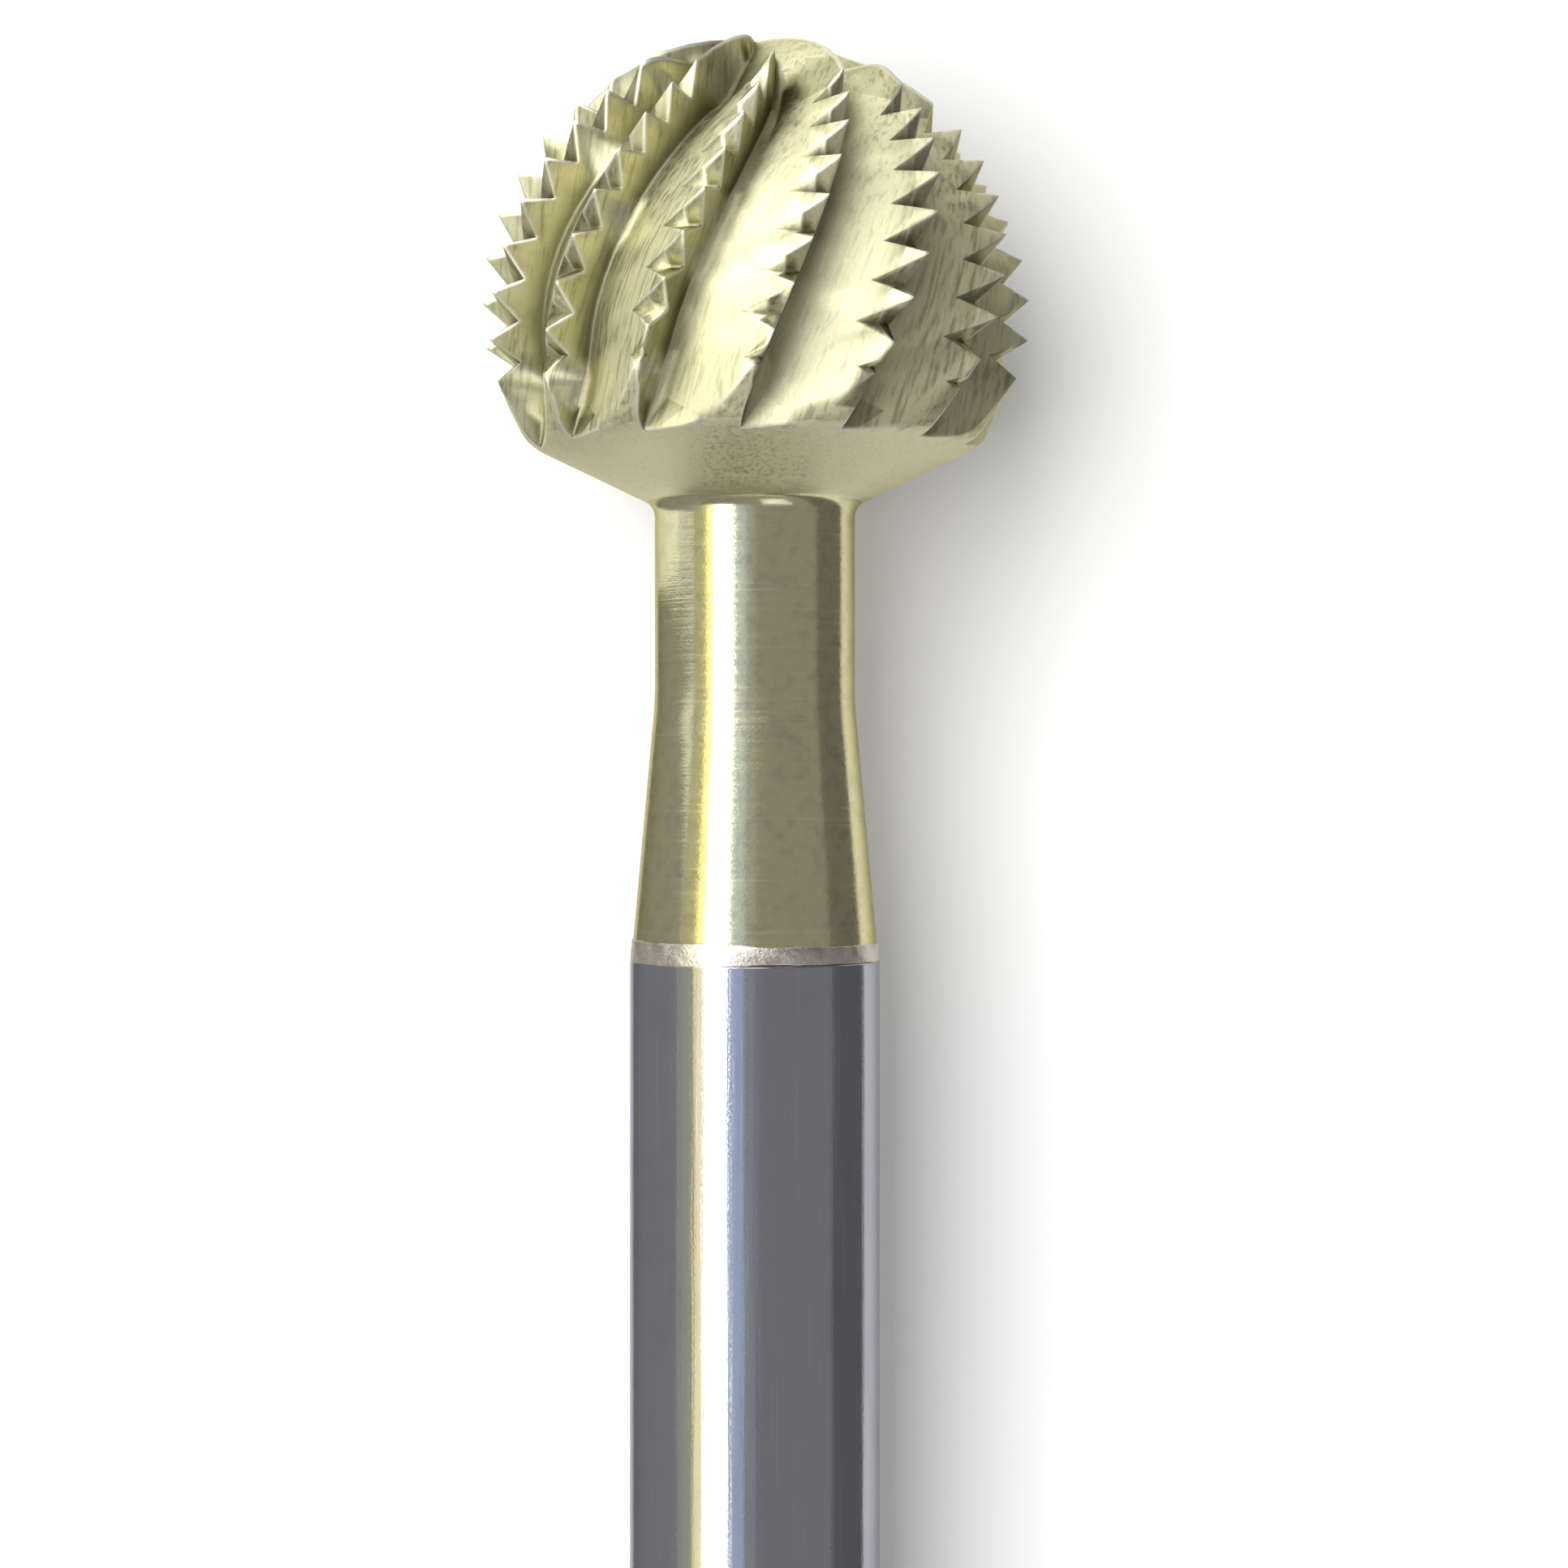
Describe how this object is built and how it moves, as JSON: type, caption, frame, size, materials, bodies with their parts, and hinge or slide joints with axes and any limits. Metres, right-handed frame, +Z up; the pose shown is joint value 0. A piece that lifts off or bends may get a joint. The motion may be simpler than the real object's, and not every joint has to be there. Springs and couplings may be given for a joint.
{
  "type": "surgical bur",
  "caption": "Round surgical bur for a straight handpiece: a ball head with helical, cross-cut blades on a slim tapered neck, brazed to a plain cylindrical shank.",
  "frame": {"origin": "middle of the resting bur's outline, on the surface that it lies on", "axes": "+Y along the bur from the shank's free end to the tip, +Z up, +X to the right as the picture shows it"},
  "size_m": [0.0052, 0.0445, 0.005],
  "materials": {
    "coated_carbide": "ground tungsten carbide with a thin pale gold nitride coating, satin",
    "silver_braze": "pale silver braze, cleaned flush, satin",
    "shank_steel": "hardened stainless steel, cylindrically ground, satin"
  },
  "bodies": {
    "root": {"carbide_cutter": "coated_carbide", "braze_layer": "silver_braze", "steel_shank": "shank_steel"}
  },
  "joints": []
}
